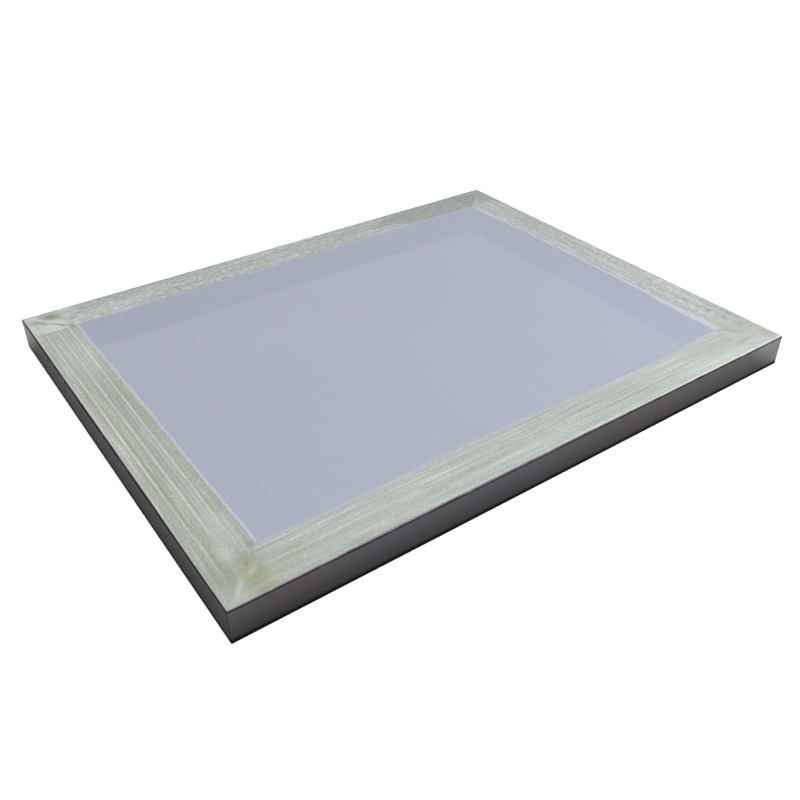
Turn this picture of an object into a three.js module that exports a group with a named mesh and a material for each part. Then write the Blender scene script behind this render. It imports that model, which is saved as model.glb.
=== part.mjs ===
// Screen printing frame, in millimetres, +Z up.
// Four aluminium box rails are mitred and welded into a rectangle. A polyester mesh is stretched over
// the top and stuck down on every rail by an adhesive band that has soaked through it.
// The origin is the centre of the underside. X runs along the long rails, Y along the short ones.

import * as THREE from "three";

// Driving dimensions
const FRAME_LENGTH = 460; // outside, along X
const FRAME_WIDTH = 358; // outside, along Y
const RAIL_WIDTH = 34; // from the outer face of a rail to its inner face
const RAIL_HEIGHT = 25;
const RAIL_WALL = 1.6;
const RAIL_EDGE_RADIUS = 0.8; // outside edges of the extruded section
const RAIL_BORE_RADIUS = 0.5; // inside edges of the extruded section

const WELD_WIDTH = 2.4; // weld metal across the mitre
const FIT_GAP = 0.3; // clearance between a weld and the pieces around it
const CORNER_ROUND = 1.0; // the outer corner, ground round after welding
const FILLET_REACH = 2.9; // how far an inner fillet stands out of its corner, along the diagonal
const FILLET_CROWN = 0.5; // how far the middle of the fillet's face bulges

const MESH_THICKNESS = 0.2;
const TRIM_INSET = 0.8; // the mesh and the adhesive are trimmed this far inside the outer faces
const MESH_CORNER_RADIUS = 1.5;

const ADHESIVE_THICKNESS = 0.2;
const ADHESIVE_BLEED = 0.8; // how far the adhesive runs onto the mesh past the inner face of a rail
const ADHESIVE_EDGE_RADIUS = 0.08;

const SEGMENTS_PER_ROUND = 4;
const DIAGONAL = Math.SQRT2; // distance along the corner's diagonal for each mm across a rail

// Materials
function satinAluminium() {
  return new THREE.MeshStandardMaterial({ color: 0x77757a, roughness: 0.42, metalness: 0.9 });
}

function groundWeld() {
  return new THREE.MeshStandardMaterial({ color: 0x8a888c, roughness: 0.5, metalness: 0.9 });
}

function rawWeld() {
  return new THREE.MeshStandardMaterial({ color: 0x9a999c, roughness: 0.55, metalness: 0.9 });
}

function driedAdhesive() {
  return new THREE.MeshStandardMaterial({ color: 0xb4bbb0, roughness: 0.6, metalness: 0 });
}

function polyesterMesh() {
  return new THREE.MeshStandardMaterial({ color: 0xafb4c8, roughness: 0.8, metalness: 0 });
}

// The four sides. A side's own frame has X along it, Y from its outer face inwards, and Z up.
const SIDES = [
  { name: "front", length: FRAME_LENGTH, x: 0, y: -FRAME_WIDTH / 2, turn: 0 },
  { name: "right", length: FRAME_WIDTH, x: FRAME_LENGTH / 2, y: 0, turn: Math.PI / 2 },
  { name: "back", length: FRAME_LENGTH, x: 0, y: FRAME_WIDTH / 2, turn: Math.PI },
  { name: "left", length: FRAME_WIDTH, x: -FRAME_LENGTH / 2, y: 0, turn: -Math.PI / 2 },
];

// The four corners. A corner's own frame has X along the mitre, from the outer corner inwards.
const CORNERS = [
  { name: "front_left", x: -FRAME_LENGTH / 2, y: -FRAME_WIDTH / 2, turn: Math.PI / 4 },
  { name: "front_right", x: FRAME_LENGTH / 2, y: -FRAME_WIDTH / 2, turn: (3 * Math.PI) / 4 },
  { name: "back_right", x: FRAME_LENGTH / 2, y: FRAME_WIDTH / 2, turn: (-3 * Math.PI) / 4 },
  { name: "back_left", x: -FRAME_LENGTH / 2, y: FRAME_WIDTH / 2, turn: -Math.PI / 4 },
];

// Draws a rectangle with rounded corners on a Shape or a Path.
function traceRoundedRectangle(path, left, bottom, right, top, radius) {
  path.moveTo(left + radius, bottom);
  path.lineTo(right - radius, bottom);
  path.absarc(right - radius, bottom + radius, radius, -Math.PI / 2, 0);
  path.lineTo(right, top - radius);
  path.absarc(right - radius, top - radius, radius, 0, Math.PI / 2);
  path.lineTo(left + radius, top);
  path.absarc(left + radius, top - radius, radius, Math.PI / 2, Math.PI);
  path.lineTo(left, bottom + radius);
  path.absarc(left + radius, bottom + radius, radius, Math.PI, 1.5 * Math.PI);
  return path;
}

function extrude(shape, depth) {
  return new THREE.ExtrudeGeometry(shape, {
    depth,
    steps: 1,
    bevelEnabled: false,
    curveSegments: SEGMENTS_PER_ROUND,
  });
}

// Runs a section (X = inwards from the outer face, Y = up) along a side and mitres both ends.
// A point that lies further in ends as much earlier, and cutback is kept clear of the mitre plane.
function mitredBar(section, sideLength, cutback) {
  const geometry = extrude(section, 1);
  const points = geometry.getAttribute("position");
  for (let i = 0; i < points.count; i++) {
    const inwards = points.getX(i);
    const up = points.getY(i);
    const end = points.getZ(i) > 0.5 ? 1 : -1;
    const reach = sideLength / 2 - inwards - cutback * DIAGONAL;
    points.setXYZ(i, end * reach, inwards, up);
  }
  geometry.computeVertexNormals();
  return geometry;
}

// A hollow box section with rounded edges.
function railSection() {
  const outline = traceRoundedRectangle(new THREE.Shape(), 0, 0, RAIL_WIDTH, RAIL_HEIGHT, RAIL_EDGE_RADIUS);
  const bore = traceRoundedRectangle(
    new THREE.Path(),
    RAIL_WALL,
    RAIL_WALL,
    RAIL_WIDTH - RAIL_WALL,
    RAIL_HEIGHT - RAIL_WALL,
    RAIL_BORE_RADIUS,
  );
  outline.holes.push(bore);
  return outline;
}

// The rail ends where the weld metal and its clearance begin.
function railGeometry(side) {
  return mitredBar(railSection(), side.length, WELD_WIDTH / 2 + FIT_GAP);
}

// A thin band from the trimmed edge of the mesh to just past the inner face of the rail.
function adhesiveGeometry(side) {
  const section = traceRoundedRectangle(
    new THREE.Shape(),
    TRIM_INSET,
    0,
    RAIL_WIDTH + ADHESIVE_BLEED,
    ADHESIVE_THICKNESS,
    ADHESIVE_EDGE_RADIUS,
  );
  return mitredBar(section, side.length, FIT_GAP / 2);
}

function meshGeometry() {
  const reachX = FRAME_LENGTH / 2 - TRIM_INSET;
  const reachY = FRAME_WIDTH / 2 - TRIM_INSET;
  const outline = new THREE.Shape();
  traceRoundedRectangle(outline, -reachX, -reachY, reachX, reachY, MESH_CORNER_RADIUS);
  return extrude(outline, MESH_THICKNESS);
}

// Distances along the corner's diagonal, from the outer corner
const OUTER_WELD_END = 2 * RAIL_WALL;
const INNER_WELD_START = (RAIL_WIDTH - RAIL_WALL) * DIAGONAL;
const WELL_CORNER = RAIL_WIDTH * DIAGONAL;

// The weld across a mitre on the top or the underside: a bar as deep as the wall.
function seamWeldGeometry() {
  const start = OUTER_WELD_END + FIT_GAP;
  const end = INNER_WELD_START - FIT_GAP;
  const outline = new THREE.Shape();
  outline.moveTo(start, -WELD_WIDTH / 2);
  outline.lineTo(end, -WELD_WIDTH / 2);
  outline.lineTo(end, WELD_WIDTH / 2);
  outline.lineTo(start, WELD_WIDTH / 2);
  return extrude(outline, RAIL_WALL);
}

// The upright weld on the outer corner. Its two outer faces lie in the outer faces of the rails,
// and the edge between them is ground round.
function outerWeldGeometry() {
  const tangent = CORNER_ROUND / DIAGONAL;
  const outline = new THREE.Shape();
  outline.moveTo(WELD_WIDTH / 2, WELD_WIDTH / 2);
  outline.lineTo(tangent, tangent);
  outline.absarc(CORNER_ROUND * DIAGONAL, 0, CORNER_ROUND, 0.75 * Math.PI, 1.25 * Math.PI);
  outline.lineTo(WELD_WIDTH / 2, -WELD_WIDTH / 2);
  outline.lineTo(OUTER_WELD_END, -WELD_WIDTH / 2);
  outline.lineTo(OUTER_WELD_END, WELD_WIDTH / 2);
  return extrude(outline, RAIL_HEIGHT);
}

// The upright weld inside the well: a neck between the two inner walls, and a crowned fillet that
// spreads towards both inner faces.
function innerWeldGeometry() {
  const spread = FIT_GAP * DIAGONAL; // keeps the fillet clear of the inner faces
  const neckEnd = WELL_CORNER + WELD_WIDTH / 2 + spread;
  const faceAt = WELL_CORNER + FILLET_REACH;
  const faceHalf = FILLET_REACH - spread;
  const outline = new THREE.Shape();
  outline.moveTo(INNER_WELD_START, -WELD_WIDTH / 2);
  outline.lineTo(neckEnd, -WELD_WIDTH / 2);
  outline.lineTo(faceAt, -faceHalf);
  outline.quadraticCurveTo(faceAt + 2 * FILLET_CROWN, 0, faceAt, faceHalf);
  outline.lineTo(neckEnd, WELD_WIDTH / 2);
  outline.lineTo(INNER_WELD_START, WELD_WIDTH / 2);
  return extrude(outline, RAIL_HEIGHT);
}

function namedMesh(name, geometry, material, height = 0) {
  const mesh = new THREE.Mesh(geometry, material);
  mesh.name = name;
  mesh.position.z = height;
  return mesh;
}

function placedGroup(place) {
  const group = new THREE.Group();
  group.position.set(place.x, place.y, 0);
  group.rotation.z = place.turn;
  return group;
}

function buildSide(side) {
  const group = placedGroup(side);
  const adhesiveHeight = RAIL_HEIGHT + MESH_THICKNESS;
  group.add(namedMesh(`${side.name}_rail`, railGeometry(side), satinAluminium()));
  group.add(namedMesh(`${side.name}_adhesive`, adhesiveGeometry(side), driedAdhesive(), adhesiveHeight));
  return group;
}

function buildCorner(corner) {
  const group = placedGroup(corner);
  const topHeight = RAIL_HEIGHT - RAIL_WALL;
  group.add(namedMesh(`${corner.name}_top_weld`, seamWeldGeometry(), groundWeld(), topHeight));
  group.add(namedMesh(`${corner.name}_under_weld`, seamWeldGeometry(), groundWeld()));
  group.add(namedMesh(`${corner.name}_outer_weld`, outerWeldGeometry(), groundWeld()));
  group.add(namedMesh(`${corner.name}_inner_weld`, innerWeldGeometry(), rawWeld()));
  return group;
}

const frame = new THREE.Group();
SIDES.forEach((side) => frame.add(buildSide(side)));
CORNERS.forEach((corner) => frame.add(buildCorner(corner)));
frame.add(namedMesh("polyester_mesh", meshGeometry(), polyesterMesh(), RAIL_HEIGHT));

export default frame;
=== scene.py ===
"""Screen printing frame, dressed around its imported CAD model.

Four mitred aluminium box rails are welded into a rectangle. A polyester mesh is stretched over the
top, and an adhesive brushed through it holds it down on every rail. Everything is in metres, in the
CAD model's own frame: X runs along the long rails, Y along the short ones, and Z is up.
"""

import logging
import math
from dataclasses import dataclass, field
from enum import Enum

import bpy
import numpy as np
from mathutils import Matrix, Vector


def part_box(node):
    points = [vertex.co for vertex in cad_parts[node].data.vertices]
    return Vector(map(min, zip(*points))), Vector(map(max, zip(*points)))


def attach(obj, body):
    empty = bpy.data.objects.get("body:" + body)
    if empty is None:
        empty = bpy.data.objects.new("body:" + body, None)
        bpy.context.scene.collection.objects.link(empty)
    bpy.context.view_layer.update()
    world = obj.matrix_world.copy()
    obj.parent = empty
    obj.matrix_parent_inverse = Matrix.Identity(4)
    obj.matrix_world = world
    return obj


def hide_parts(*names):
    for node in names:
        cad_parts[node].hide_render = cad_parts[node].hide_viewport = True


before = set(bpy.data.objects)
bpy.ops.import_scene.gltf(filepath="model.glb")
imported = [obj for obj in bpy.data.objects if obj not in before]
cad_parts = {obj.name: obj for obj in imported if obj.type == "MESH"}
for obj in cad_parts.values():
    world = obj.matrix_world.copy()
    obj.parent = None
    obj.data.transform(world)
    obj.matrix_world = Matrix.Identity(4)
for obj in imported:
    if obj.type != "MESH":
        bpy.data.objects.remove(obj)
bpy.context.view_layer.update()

MM = 0.001
ROOT_BODY = "root"
UV_NAME = "along_across"
CORNER_GLINT = "painted_glint"
LOG = logging.getLogger("screen_frame")


# ---------------------------------------------------------------- choices


class Side(Enum):
    """The four rails, each with the turn in degrees that takes the front rail to it."""

    FRONT = 0
    RIGHT = 90
    BACK = 180
    LEFT = -90

    @property
    def word(self) -> str:
        """The side's name as the CAD nodes spell it."""
        return self.name.lower()


class Corner(Enum):
    """The four corners, each with the signs of X and Y of its outer edge."""

    FRONT_LEFT = (-1, -1)
    FRONT_RIGHT = (1, -1)
    BACK_RIGHT = (1, 1)
    BACK_LEFT = (-1, 1)

    @property
    def word(self) -> str:
        """The corner's name as the CAD nodes spell it."""
        return self.name.lower()


class Tone(Enum):
    """What a stain in the adhesive does to its colour; the value names the mesh attribute."""

    OLIVE = "olive"
    PALE = "pale"
    SHADE = "shade"
    WARM = "warm"
    THIN = "thin"
    SMOOTH = "smooth"


# ---------------------------------------------------------------- sizes and places


@dataclass(frozen=True)
class Layout:
    """The frame's main sizes in metres, read from the CAD model's boxes."""

    half_length: float
    half_width: float
    rail_width: float
    rail_height: float
    mesh_half_length: float
    mesh_half_width: float

    @classmethod
    def from_cad(cls) -> "Layout":
        """Reads the sizes from the CAD nodes.

        Returns:
            The layout that every piece is built on.
        """
        left_low, left_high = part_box("left_rail")
        front_low, front_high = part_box("front_rail")
        _, mesh_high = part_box("polyester_mesh")
        return cls(
            half_length=-left_low.x,
            half_width=-front_low.y,
            rail_width=left_high.x - left_low.x,
            rail_height=front_high.z,
            mesh_half_length=mesh_high.x,
            mesh_half_width=mesh_high.y,
        )

    def half_run(self, side: Side) -> float:
        """Half the outside length of one side."""
        return self.half_length if side in (Side.FRONT, Side.BACK) else self.half_width

    def place(self, side: Side, along: np.ndarray, inwards: np.ndarray, up: np.ndarray) -> np.ndarray:
        """Turns a side's own coordinates into the model's.

        The front side has X along it and Y inwards from its outer face; the others are that side
        turned about Z by the side's angle.

        Args:
            side: the side that the points belong to.
            along: distances along the rail from its middle.
            inwards: distances from the rail's outer face.
            up: heights above the underside.

        Returns:
            Points with X, Y and Z in the last axis.
        """
        turn = math.radians(side.value)
        outer = self.half_width if side in (Side.FRONT, Side.BACK) else self.half_length
        across = inwards - outer
        x = along * math.cos(turn) - across * math.sin(turn)
        y = along * math.sin(turn) + across * math.cos(turn)
        return np.stack(np.broadcast_arrays(x, y, up), axis=-1)

    def place_corner(
        self, corner: Corner, inwards: np.ndarray, aside: np.ndarray, up: np.ndarray
    ) -> np.ndarray:
        """Turns a corner's own coordinates into the model's.

        Args:
            corner: the corner that the points belong to.
            inwards: distances from the outer corner along the mitre, towards the frame's middle.
            aside: distances to one side of the mitre.
            up: heights above the underside.

        Returns:
            Points with X, Y and Z in the last axis.
        """
        sign_x, sign_y = corner.value
        x = sign_x * (self.half_length - (inwards + aside) / math.sqrt(2))
        y = sign_y * (self.half_width - (inwards - aside) / math.sqrt(2))
        return np.stack(np.broadcast_arrays(x, y, up), axis=-1)


# ---------------------------------------------------------------- numbers and meshes


def smoothstep(low: float, high: float, value: np.ndarray) -> np.ndarray:
    """Rises smoothly from 0 at low to 1 at high, by 3t^2 - 2t^3."""
    t = np.clip((value - low) / (high - low), 0.0, 1.0)
    return t * t * (3.0 - 2.0 * t)


def wander(position: np.ndarray, wavelength: float, seed: int, octaves: int = 4) -> np.ndarray:
    """An irregular smooth curve between about -1 and 1.

    It is a sum of sine waves with random phases, each about half as long and half as high as the
    one before.

    Args:
        position: where the curve is read, in metres.
        wavelength: the longest wave, in metres.
        seed: picks the phases.
        octaves: the number of waves.

    Returns:
        The curve's height at each position.
    """
    random = np.random.default_rng(seed)
    total = np.zeros_like(position, dtype=float)
    for octave in range(octaves):
        stretch = wavelength / (2.0**octave * random.uniform(0.85, 1.15))
        total += np.sin(position * 2.0 * math.pi / stretch + random.uniform(0.0, 6.28)) / 2.0**octave
    return total / 1.6


def grid_faces(rows: int, columns: int, start: int = 0, closed: bool = False) -> np.ndarray:
    """Quads over a grid of points that is stored row by row.

    Args:
        rows: the number of rows.
        columns: the number of points in a row.
        start: the index of the grid's first point.
        closed: whether each row's last point joins its first.

    Returns:
        One row of four indices for each quad.
    """
    across = columns if closed else columns - 1
    r, c = np.meshgrid(np.arange(rows - 1), np.arange(across), indexing="ij")
    nxt = (c + 1) % columns
    quads = np.stack([r * columns + c, (r + 1) * columns + c, (r + 1) * columns + nxt, r * columns + nxt], -1)
    return quads.reshape(-1, 4) + start


def strip_faces(first: np.ndarray, second: np.ndarray) -> np.ndarray:
    """Quads between two rows of point indices of equal length."""
    return np.stack([first[:-1], first[1:], second[1:], second[:-1]], -1)


def slab(upper: np.ndarray, lower: np.ndarray) -> tuple[np.ndarray, np.ndarray]:
    """A closed body between two surfaces on the same grid.

    The upper grid and the lower grid are joined by a strip of quads round their rims.

    Args:
        upper: points of the upper surface, rows by columns by 3.
        lower: points of the lower surface, on the same grid.

    Returns:
        The points and the quads.
    """
    rows, columns = upper.shape[:2]
    count = rows * columns
    index = np.arange(count).reshape(rows, columns)
    rim = np.concatenate([index[0], index[1:, -1], index[-1, -2::-1], index[-2::-1, 0]])
    faces = [
        grid_faces(rows, columns),
        grid_faces(rows, columns, count)[:, ::-1],
        strip_faces(rim, rim + count),
    ]
    return np.concatenate([upper.reshape(-1, 3), lower.reshape(-1, 3)]), np.concatenate(faces)


def tube(outer: np.ndarray, inner: np.ndarray) -> tuple[np.ndarray, np.ndarray]:
    """A hollow bar with an open bore.

    Each row is one closed section. The outer and inner walls are joined by a ring of quads at
    either end.

    Args:
        outer: points of the outer wall, rows by columns by 3.
        inner: points of the bore, on the same grid.

    Returns:
        The points and the quads.
    """
    rows, columns = outer.shape[:2]
    count = rows * columns
    loop = np.append(np.arange(columns), 0)
    last = loop + (rows - 1) * columns
    faces = [
        grid_faces(rows, columns, closed=True),
        grid_faces(rows, columns, count, closed=True)[:, ::-1],
        strip_faces(loop, loop + count),
        strip_faces(last, last + count)[:, ::-1],
    ]
    return np.concatenate([outer.reshape(-1, 3), inner.reshape(-1, 3)]), np.concatenate(faces)


def facing_out(points: np.ndarray, faces: np.ndarray) -> np.ndarray:
    """Turns every face round if the closed body's volume comes out negative.

    The volume is the sum over the quads' two triangles of a . (b x c) / 6.
    """
    a, b, c, d = (points[faces[:, i]] for i in range(4))
    volume = (a * np.cross(b, c)).sum() + (a * np.cross(c, d)).sum()
    return faces[:, ::-1] if volume < 0 else faces


def make_piece(
    name: str,
    points: np.ndarray,
    faces: np.ndarray,
    along_across: np.ndarray,
    material: bpy.types.Material,
    fields: dict[str, np.ndarray] | None = None,
    sharp_degrees: float = 40.0,
) -> bpy.types.Object:
    """Puts computed points and quads into a mesh object that sits at the origin.

    Args:
        name: the object's name.
        points: the points, in the model's coordinates.
        faces: quads of point indices.
        along_across: each point's place on the surface in metres, which becomes the UV map.
        material: the finish.
        fields: named values for each point, such as how olive the adhesive is there.
        sharp_degrees: edges that turn more than this stay sharp.

    Returns:
        The new object, riding on the frame's body.
    """
    mesh = bpy.data.meshes.new(name)
    mesh.from_pydata(points.tolist(), [], faces.tolist())
    corners = np.empty(len(mesh.loops), np.int32)
    mesh.loops.foreach_get("vertex_index", corners)
    uv_map = mesh.uv_layers.new(name=UV_NAME)
    uv_map.data.foreach_set("uv", along_across[corners].astype(np.float32).ravel())
    for word, values in (fields or {}).items():
        attribute = mesh.attributes.new(word, "FLOAT", "POINT")
        attribute.data.foreach_set("value", values.astype(np.float32).ravel())
    mesh.shade_smooth()
    mesh.set_sharp_from_angle(angle=math.radians(sharp_degrees))
    mesh.materials.append(material)
    mesh.validate()
    piece = bpy.data.objects.new(name, mesh)
    bpy.context.scene.collection.objects.link(piece)
    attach(piece, ROOT_BODY)
    LOG.info("%s: %d faces", name, len(faces))
    return piece


# ---------------------------------------------------------------- finishes


def linear(colour: str) -> tuple[float, float, float, float]:
    """Turns an sRGB hex colour into the linear values that shaders take.

    Args:
        colour: six hex digits.

    Returns:
        Red, green, blue and an alpha of 1.
    """
    parts = [int(colour[i : i + 2], 16) / 255.0 for i in (0, 2, 4)]
    red, green, blue = (p / 12.92 if p <= 0.04045 else ((p + 0.055) / 1.055) ** 2.4 for p in parts)
    return red, green, blue, 1.0


def add_node(
    tree: bpy.types.NodeTree, kind: str, inputs: dict | None = None, **settings: object
) -> bpy.types.Node:
    """Adds a node with its settings, and gives its inputs a value or a link.

    Args:
        tree: the material's node tree.
        kind: the node's type without its "ShaderNode" prefix.
        inputs: input name or number to a value, or to the output socket that feeds it.
        settings: the node's own properties.

    Returns:
        The new node.
    """
    node = tree.nodes.new("ShaderNode" + kind)
    for word, value in settings.items():
        setattr(node, word, value)
    for key, value in (inputs or {}).items():
        socket = node.inputs[key]
        if isinstance(value, bpy.types.NodeSocket):
            tree.links.new(value, socket)
        else:
            socket.default_value = value
    return node


class Finish:
    """A procedural material. A finish adds its own nodes in dress()."""

    title = "finish"

    def material(self) -> bpy.types.Material:
        """Makes the material.

        Returns:
            A material whose Principled shader has been fed by dress().
        """
        made = bpy.data.materials.new(self.title)
        made.use_nodes = True
        tree = made.node_tree
        tree.nodes.clear()
        shader = add_node(tree, "BsdfPrincipled")
        add_node(tree, "OutputMaterial", {"Surface": shader.outputs[0]})
        self.dress(tree, shader)
        return made

    def dress(self, tree: bpy.types.NodeTree, shader: bpy.types.Node) -> None:
        """Adds this finish's nodes and sets the shader's inputs.

        Args:
            tree: the material's node tree.
            shader: its Principled shader.
        """
        raise NotImplementedError


def mixed(tree: bpy.types.NodeTree, factor: object, first: object, second: object) -> object:
    """Mixes two colours.

    Args:
        tree: the material's node tree.
        factor: how much of the second colour shows, as a value or a socket.
        first: the colour under it, as a value or a socket.
        second: the colour over it.

    Returns:
        The mixed colour's socket.
    """
    node = add_node(tree, "Mix", {0: factor, 6: first, 7: second}, data_type="RGBA", clamp_factor=True)
    return node.outputs[2]


def computed(tree: bpy.types.NodeTree, operation: str, *values: object, clamp: bool = False) -> object:
    """One step of arithmetic on values or sockets, and its result's socket."""
    return add_node(tree, "Math", dict(enumerate(values)), operation=operation, use_clamp=clamp).outputs[0]


def ramped(tree: bpy.types.NodeTree, value: object, low: float, high: float, top: float = 1.0) -> object:
    """Rises smoothly from 0 where value is low to top where it is high, and returns the socket."""
    node = add_node(
        tree,
        "MapRange",
        {"Value": value, "From Min": low, "From Max": high, "To Min": 0.0, "To Max": top},
        interpolation_type="SMOOTHSTEP",
    )
    return node.outputs[0]


def clouded(tree: bpy.types.NodeTree, place: object, scale: float, detail: float, roughness: float) -> object:
    """Even, cloudy noise with scale patches to the metre, and its result's socket."""
    settings = {"Vector": place, "Scale": scale, "Detail": detail, "Roughness": roughness}
    return add_node(tree, "TexNoise", settings).outputs[0]


def feed(tree: bpy.types.NodeTree, shader: bpy.types.Node, sockets: dict[str, object]) -> None:
    """Links each socket to the shader's input of that name.

    Args:
        tree: the material's node tree.
        shader: its Principled shader.
        sockets: input name to the output socket that feeds it.
    """
    for word, socket in sockets.items():
        tree.links.new(socket, shader.inputs[word])


def streaked(
    tree: bpy.types.NodeTree, long: float, wide: float, detail: float = 2.0, shift: float = 0.0
) -> object:
    """Noise drawn out along the piece.

    Args:
        tree: the material's node tree.
        long: a streak's usual length in metres.
        wide: a streak's usual width in metres.
        detail: how many finer layers are added.
        shift: moves the pattern, so that two layers differ.

    Returns:
        The socket of a value from 0 to 1.
    """
    place = add_node(tree, "UVMap", uv_map=UV_NAME)
    scale = (1.0 / long, 1.0 / wide, 1.0)
    settings = {"Vector": place.outputs[0], "Location": (shift, shift, 0.0), "Scale": scale}
    scaled = add_node(tree, "Mapping", settings)
    return clouded(tree, scaled.outputs[0], 1.0, detail, 0.55)


@dataclass(frozen=True)
class SatinExtrudedAluminium(Finish):
    """Satin aluminium straight from the extruder's die, coloured dark grey as a painted reflection of the
    dark surroundings that bare metal reflects.

    The die leaves faint lines along the rail, and handling leaves a cloudy, slightly brown bloom.
    The colour darkens towards the foot, down to a near-black band at the bottom edge: painted shade
    for the shadowed floor that the sides reflect and the contact shadow under them. Round some
    corners the sides are painted brighter, a painted reflection of the studio.
    The top outer edge carries a thin bright band, a painted highlight drawn as scraped metal, over a
    thin dark line under the adhesive's lip that is painted shade.
    """

    title = "satin extruded aluminium"
    rail_height: float = 25 * MM
    # cool and brown are dark as a painted reflection of dark surroundings, in place of bare aluminium's own
    # colour.
    cool: str = "545459"
    brown: str = "575255"
    # foot is the colour of the painted shade that darkens the sides towards the bottom.
    foot: str = "3F3D40"
    # This dark colour darkens the die lines, and it is also the painted shade under the adhesive's lip and
    # along the foot.
    dirt_and_shadow: str = "141213"
    # This colour is painted reflection: the brightening of the sides round the corners.
    painted_glint: str = "A3A2A8"
    # The next colour is the painted highlight on the top outer edge.
    edge_highlight: str = "A9A8A6"
    scuff: str = "8A888C"
    edge_highlight_strength: float = 0.6
    lip_shadow_strength: float = 0.75
    grazing_tint: float = 0.75
    roughness: float = 0.36

    def dress(self, tree: bpy.types.NodeTree, shader: bpy.types.Node) -> None:
        """See Finish.dress."""
        object_place = add_node(tree, "TexCoord").outputs["Object"]
        height = add_node(tree, "SeparateXYZ", {0: object_place}).outputs[2]
        # The attribute read here is the painted reflection that brightens the sides round some corners.
        corner = add_node(tree, "Attribute", attribute_name=CORNER_GLINT).outputs["Fac"]
        clouds = clouded(tree, object_place, 14.0, 4.0, 0.5)
        fine_clouds = clouded(tree, object_place, 90.0, 3.0, 0.6)
        die_lines = streaked(tree, 400 * MM, 1.1 * MM, 3.0)
        scuffs = streaked(tree, 18 * MM, 0.5 * MM, 4.0, shift=3.7)
        bloom = mixed(tree, ramped(tree, clouds, 0.38, 0.66), linear(self.cool), linear(self.brown))
        # Painted shade: the sides darken towards the foot, for the shadowed floor that they reflect.
        above_floor = ramped(tree, height, 0.05 * MM, 0.5 * MM)
        low_shade = computed(tree, "MULTIPLY", ramped(tree, height, self.rail_height, 1 * MM), above_floor)
        shaded = mixed(tree, low_shade, bloom, linear(self.foot))
        # Painted reflection: the sides brighten round the corners.
        glinted = mixed(tree, corner, shaded, linear(self.painted_glint))
        lined = mixed(tree, ramped(tree, die_lines, 0.35, 0.75, 0.09), glinted, linear(self.dirt_and_shadow))
        scuffed = mixed(tree, ramped(tree, scuffs, 0.66, 0.8, 0.1), lined, linear(self.scuff))
        # Painted shade: a thin dark line under the adhesive's lip.
        lip_shadow = computed(
            tree,
            "MULTIPLY",
            ramped(tree, height, self.rail_height - 2.2 * MM, self.rail_height - 1.2 * MM),
            ramped(tree, fine_clouds, 0.2, 0.5, self.lip_shadow_strength),
        )
        # Painted shade: a near-black band along the foot, for the contact shadow under the rail.
        foot_shadow = computed(tree, "MULTIPLY", ramped(tree, height, 5.0 * MM, 1.8 * MM, 0.95), above_floor)
        painted_shadow = computed(tree, "MAXIMUM", lip_shadow, foot_shadow)
        shadowed = mixed(tree, painted_shadow, scuffed, linear(self.dirt_and_shadow))
        # Painted highlight: a thin bright band along the top outer edge, drawn as scraped metal.
        edge_highlight_mask = computed(
            tree,
            "MULTIPLY",
            ramped(tree, height, self.rail_height - 0.6 * MM, self.rail_height - 0.4 * MM),
            ramped(tree, streaked(tree, 22 * MM, 4 * MM, 3.0, shift=1.3), 0.25, 0.5, self.edge_highlight_strength),
        )
        colour = mixed(tree, edge_highlight_mask, shadowed, linear(self.edge_highlight))
        rough = computed(
            tree,
            "ADD",
            computed(tree, "MULTIPLY_ADD", die_lines, 0.12, self.roughness - 0.11),
            computed(tree, "MULTIPLY_ADD", painted_shadow, 0.45, computed(tree, "MULTIPLY", fine_clouds, 0.1)),
        )
        relief = computed(tree, "ADD", die_lines, computed(tree, "MULTIPLY", scuffs, 0.4))
        bump = add_node(tree, "Bump", {"Height": relief, "Strength": 0.2, "Distance": 0.05 * MM})
        feed(tree, shader, {"Base Color": colour, "Roughness": rough, "Normal": bump.outputs[0]})
        shader.inputs["Metallic"].default_value = 1.0
        tint = self.grazing_tint
        shader.inputs["Specular Tint"].default_value = (tint, tint, tint, 1.0)


@dataclass(frozen=True)
class WeldMetal(Finish):
    """Aluminium weld metal, either ground flush or left with its ripples.

    Grinding leaves short parallel scratches and brightens the metal. A bead left alone keeps a
    frosty skin with darker soot in places.
    """

    title = "aluminium weld metal"
    metal: str = "8E8D90"
    soot: str = "4A484A"
    scratch: str = "BDBCBE"
    scratch_long: float = 9 * MM
    scratch_wide: float = 0.35 * MM
    roughness: float = 0.42

    def dress(self, tree: bpy.types.NodeTree, shader: bpy.types.Node) -> None:
        """See Finish.dress."""
        object_place = add_node(tree, "TexCoord").outputs["Object"]
        spots = clouded(tree, object_place, 260.0, 4.0, 0.6)
        scratches = streaked(tree, self.scratch_long, self.scratch_wide, 3.0)
        sooty = mixed(tree, ramped(tree, spots, 0.42, 0.7, 0.8), linear(self.metal), linear(self.soot))
        colour = mixed(tree, ramped(tree, scratches, 0.5, 0.8, 0.35), sooty, linear(self.scratch))
        rough = computed(tree, "ADD", computed(tree, "MULTIPLY", spots, 0.3), self.roughness - 0.15)
        relief = computed(tree, "ADD", scratches, spots)
        bump = add_node(tree, "Bump", {"Height": relief, "Strength": 0.4, "Distance": 0.06 * MM})
        feed(tree, shader, {"Base Color": colour, "Roughness": rough, "Normal": bump.outputs[0]})
        shader.inputs["Metallic"].default_value = 1.0


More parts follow.
